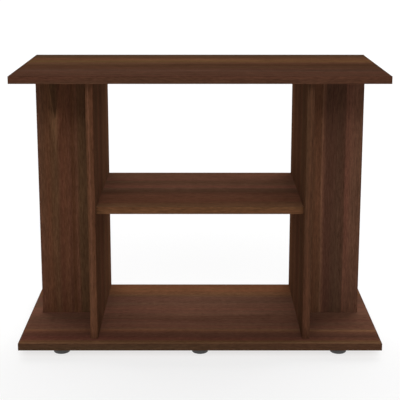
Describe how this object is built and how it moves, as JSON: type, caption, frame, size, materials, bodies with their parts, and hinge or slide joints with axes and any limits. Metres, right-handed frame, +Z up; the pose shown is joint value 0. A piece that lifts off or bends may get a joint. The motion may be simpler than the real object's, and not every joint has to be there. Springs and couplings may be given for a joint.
{
  "type": "aquarium stand",
  "caption": "Open aquarium stand with rectangular top and base boards, T-shaped legs, a middle shelf between the uprights and round plastic feet, dark walnut finish.",
  "frame": {"origin": "on the floor, under the middle of the base board, at the bottom centre of the bounding box", "axes": "+Z up, +X to the right along the width, +Y to the back; the front faces -Y"},
  "size_m": [0.8, 0.4, 0.622],
  "materials": {
    "walnut_foil_board": "satin dark walnut melamine foil on chipboard",
    "walnut_edge_band": "satin dark walnut edge band with milled corners",
    "foot_plastic": "moulded, fine grained",
    "zinc_cam": "die-cast zinc, satin",
    "zinc_plated_steel": "bright zinc plating",
    "beech_dowel": "fluted, unfinished"
  },
  "bodies": {
    "root": {"back_left_foot": "foot_plastic", "back_middle_foot": "foot_plastic", "back_right_foot": "foot_plastic", "base_back_edge_band": "walnut_edge_band", "base_board": "walnut_foil_board", "base_front_edge_band": "walnut_edge_band", "base_left_edge_band": "walnut_edge_band", "base_right_edge_band": "walnut_edge_band", "foot_screws": "zinc_plated_steel", "front_left_foot": "foot_plastic", "front_middle_foot": "foot_plastic", "front_right_foot": "foot_plastic", "left_base_dowels": "beech_dowel", "left_base_screws": "zinc_plated_steel", "left_shelf_cam_bolts": "zinc_plated_steel", "left_shelf_cam_discs": "zinc_cam", "left_shelf_dowels": "beech_dowel", "left_top_cam_bolts": "zinc_plated_steel", "left_top_dowels": "beech_dowel", "left_upright": "walnut_foil_board", "left_upright_back_edge_band": "walnut_edge_band", "left_upright_cam_discs": "zinc_cam", "left_upright_front_edge_band": "walnut_edge_band", "left_wing_cam_bolts": "zinc_plated_steel", "left_wing_cam_discs": "zinc_cam", "left_wing_dowels": "beech_dowel", "left_wing_edge_band": "walnut_edge_band", "left_wing_panel": "walnut_foil_board", "left_wing_top_cam_disc": "zinc_cam", "middle_shelf": "walnut_foil_board", "right_base_dowels": "beech_dowel", "right_base_screws": "zinc_plated_steel", "right_shelf_cam_bolts": "zinc_plated_steel", "right_shelf_cam_discs": "zinc_cam", "right_shelf_dowels": "beech_dowel", "right_top_cam_bolts": "zinc_plated_steel", "right_top_dowels": "beech_dowel", "right_upright": "walnut_foil_board", "right_upright_back_edge_band": "walnut_edge_band", "right_upright_cam_discs": "zinc_cam", "right_upright_front_edge_band": "walnut_edge_band", "right_wing_cam_bolts": "zinc_plated_steel", "right_wing_cam_discs": "zinc_cam", "right_wing_dowels": "beech_dowel", "right_wing_edge_band": "walnut_edge_band", "right_wing_panel": "walnut_foil_board", "right_wing_top_cam_disc": "zinc_cam", "shelf_back_edge_band": "walnut_edge_band", "shelf_front_edge_band": "walnut_edge_band", "top_back_edge_band": "walnut_edge_band", "top_board": "walnut_foil_board", "top_front_edge_band": "walnut_edge_band", "top_left_edge_band": "walnut_edge_band", "top_right_edge_band": "walnut_edge_band"}
  },
  "joints": []
}
